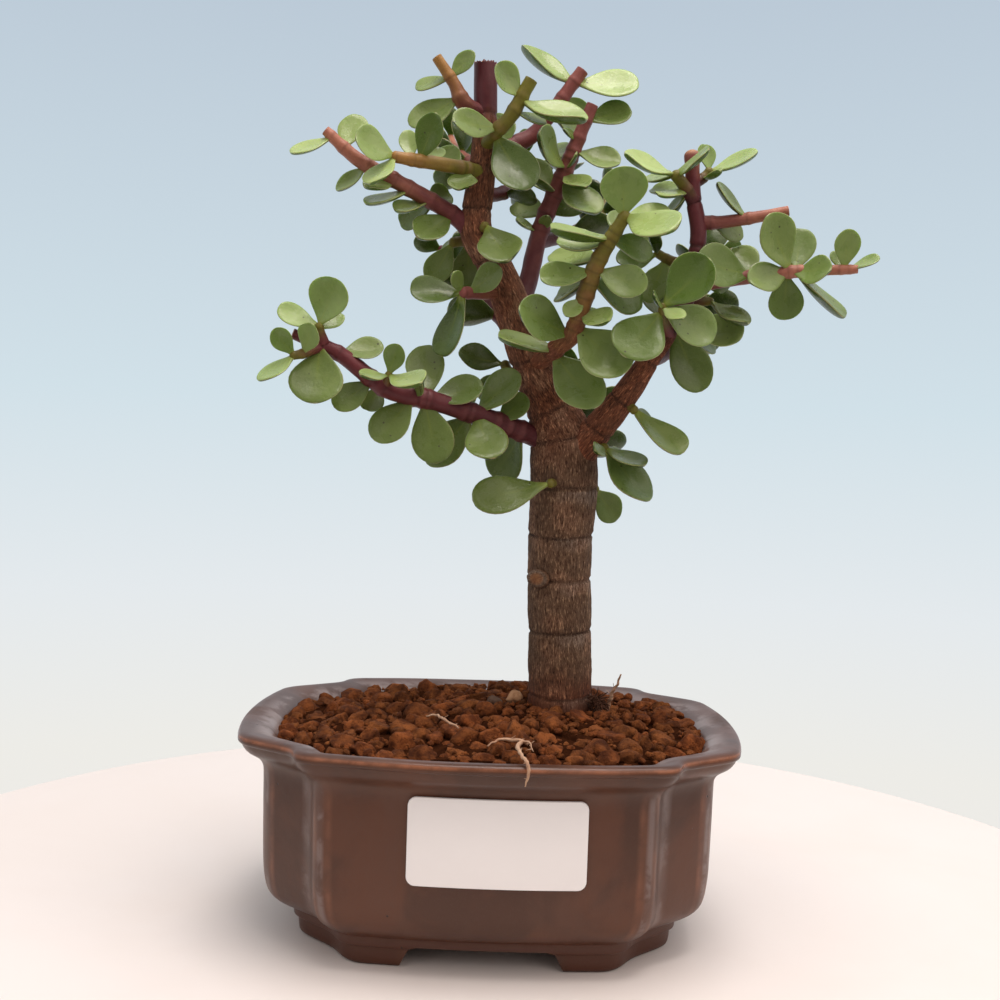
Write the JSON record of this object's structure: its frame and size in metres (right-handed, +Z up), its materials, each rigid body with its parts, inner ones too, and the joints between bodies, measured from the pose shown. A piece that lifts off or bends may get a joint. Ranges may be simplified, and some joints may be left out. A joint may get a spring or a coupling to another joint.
{
  "type": "dwarf jade bonsai",
  "caption": "Dwarf jade bonsai with a forked woody trunk and fleshy leaves in opposite pairs, standing in granular soil in a low glazed pot with stepped corners and feet.",
  "frame": {"origin": "centre of the whole object's box, at the level the pot's feet stand on", "axes": "+Z up along the tree's height, -Y the front of the pot with the tag, +X to the right seen from the front"},
  "size_m": [0.1888, 0.1284, 0.2805],
  "materials": {
    "glaze": "brown semi-matt ceramic glaze with a bluish grey mottle and rust-coloured edges",
    "grit": "matt reddish-brown baked clay grains",
    "mesh": "matt black woven plastic screen",
    "bark": "matt brown bark with fine lengthwise fibres and thin dark rings",
    "leaf": "waxy fleshy green leaf, paler and slightly translucent at the young tips",
    "tag": "satin white label, blank",
    "root": "matt pale brown dry root"
  },
  "bodies": {
    "root": {"pot": "glaze", "soil": "grit", "drain_screen_left": "mesh", "drain_screen_right": "mesh", "trunk": "bark", "blank_tag": "tag", "dry_root_front": "root", "dry_root_upright": "root", "low_left_branch": "leaf", "high_left_branch": "leaf", "olive_twig": "leaf", "left_hanging_twig": "leaf", "left_low_twig": "leaf", "apex_left_shoot": "leaf", "apex_front_shoot": "leaf", "apex_right_shoot": "leaf", "apex_back_shoot": "leaf", "front_centre_shoot": "leaf", "limb_front_twig": "leaf", "limb_back_twig": "leaf", "limb_inner_twig": "leaf", "right_hanging_twig": "leaf", "far_right_branch": "leaf", "right_bare_shoot": "leaf", "right_top_twig": "leaf", "right_tip_twig": "leaf", "fork_twig": "leaf", "limb_low_twig": "leaf", "ring_leaf_left": "leaf", "ring_leaf_right": "leaf", "leader_leaf_front": "leaf", "trunk_left_twig": "leaf", "back_low_branch": "leaf", "back_left_branch": "leaf", "back_right_branch": "leaf", "back_high_twig": "leaf", "back_top_twig": "leaf", "back_limb_twig": "leaf"}
  },
  "joints": []
}
